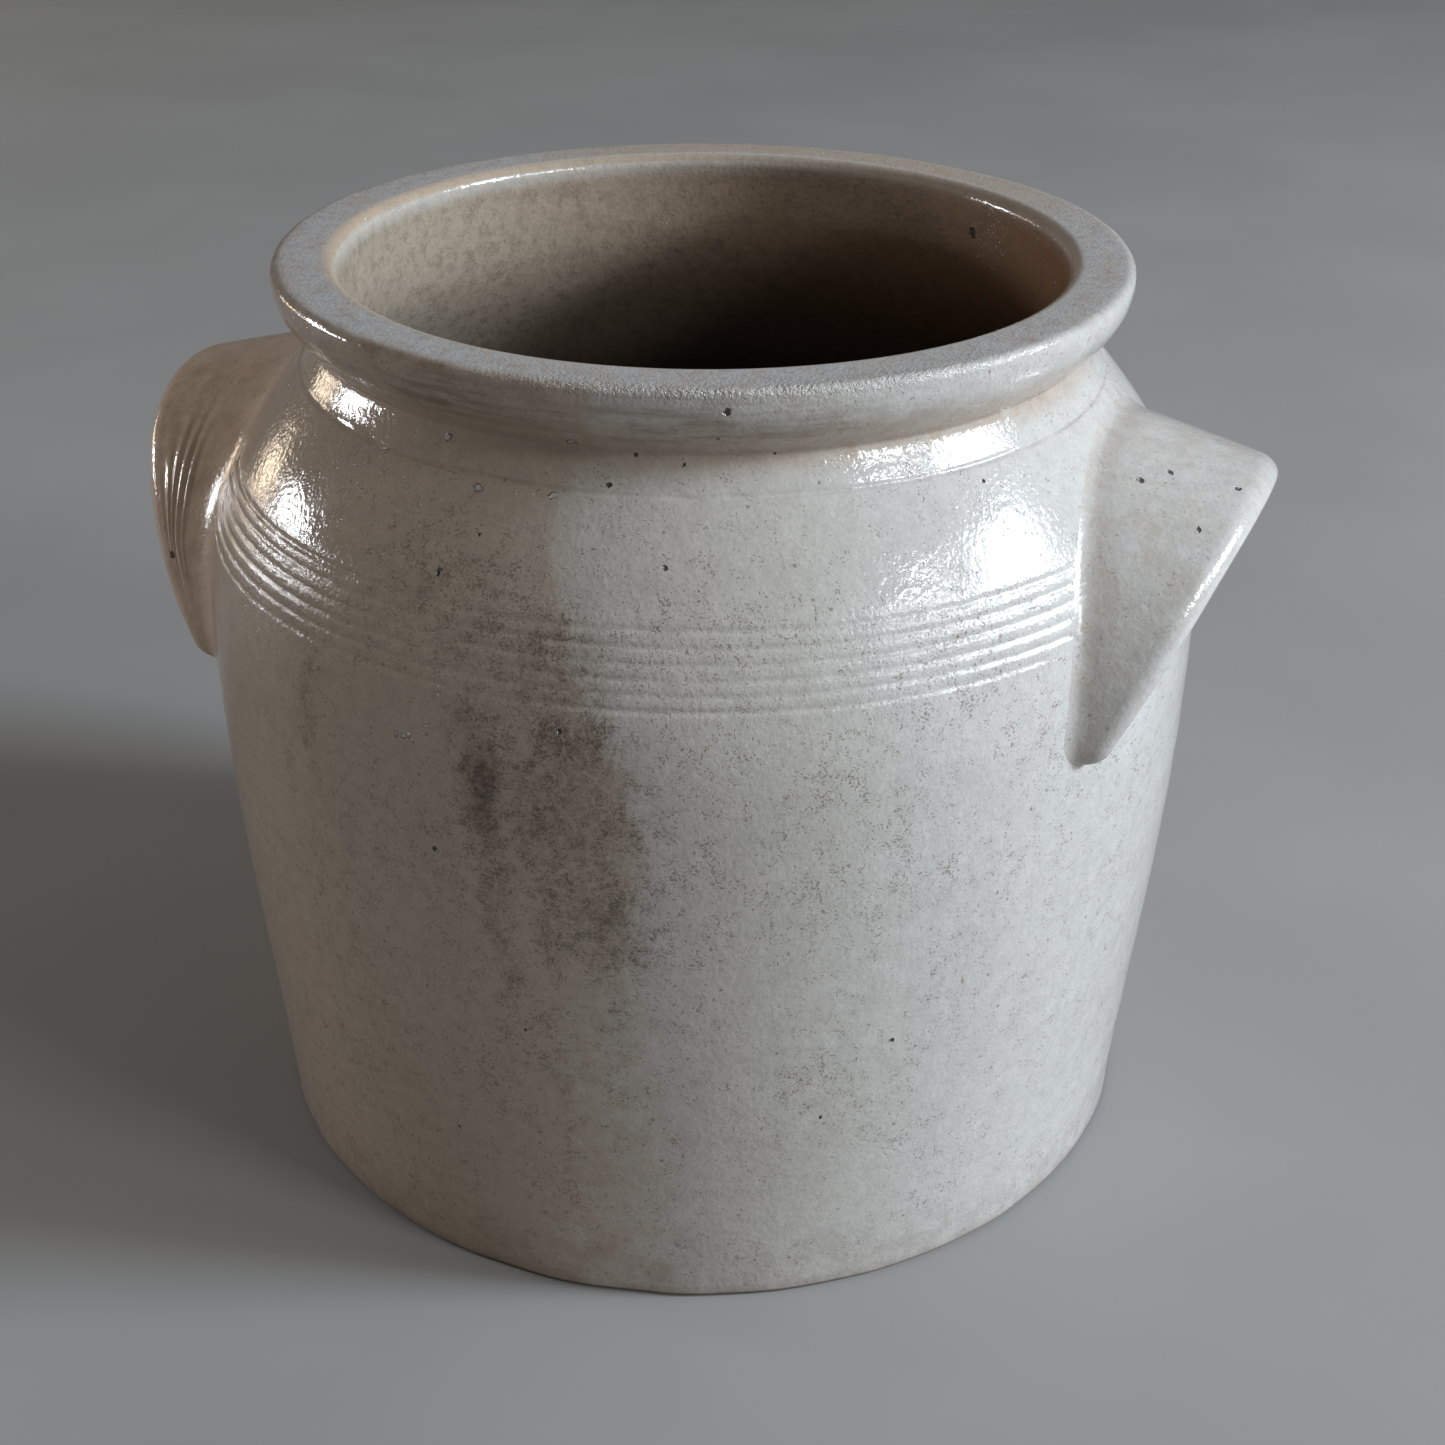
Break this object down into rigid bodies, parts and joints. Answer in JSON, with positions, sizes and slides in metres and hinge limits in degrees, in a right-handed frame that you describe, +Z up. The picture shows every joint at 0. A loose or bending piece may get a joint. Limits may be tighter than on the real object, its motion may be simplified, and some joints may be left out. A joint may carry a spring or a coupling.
{
  "type": "stoneware crock",
  "caption": "Open salt-glazed stoneware crock with a flat base, bellied wall, combed shoulder, collared rim and hooded ear lugs, for salting, fermenting or keeping food.",
  "frame": {"origin": "centre of the flat base, on the surface that the crock stands on", "axes": "+Z up along the pot's axis to the mouth, +X through the right lug as the viewer sees it, -Y towards the viewer"},
  "size_m": [0.2483, 0.2194, 0.2],
  "materials": {
    "grey_glaze": "grey-beige salt glaze with fine iron specks and an orange-peel gloss",
    "brown_glaze": "browner salt glaze, glossy over the potter's finger ridges"
  },
  "bodies": {
    "root": {"crock_body": "grey_glaze", "right_lug": "grey_glaze", "left_lug": "brown_glaze"}
  },
  "joints": []
}
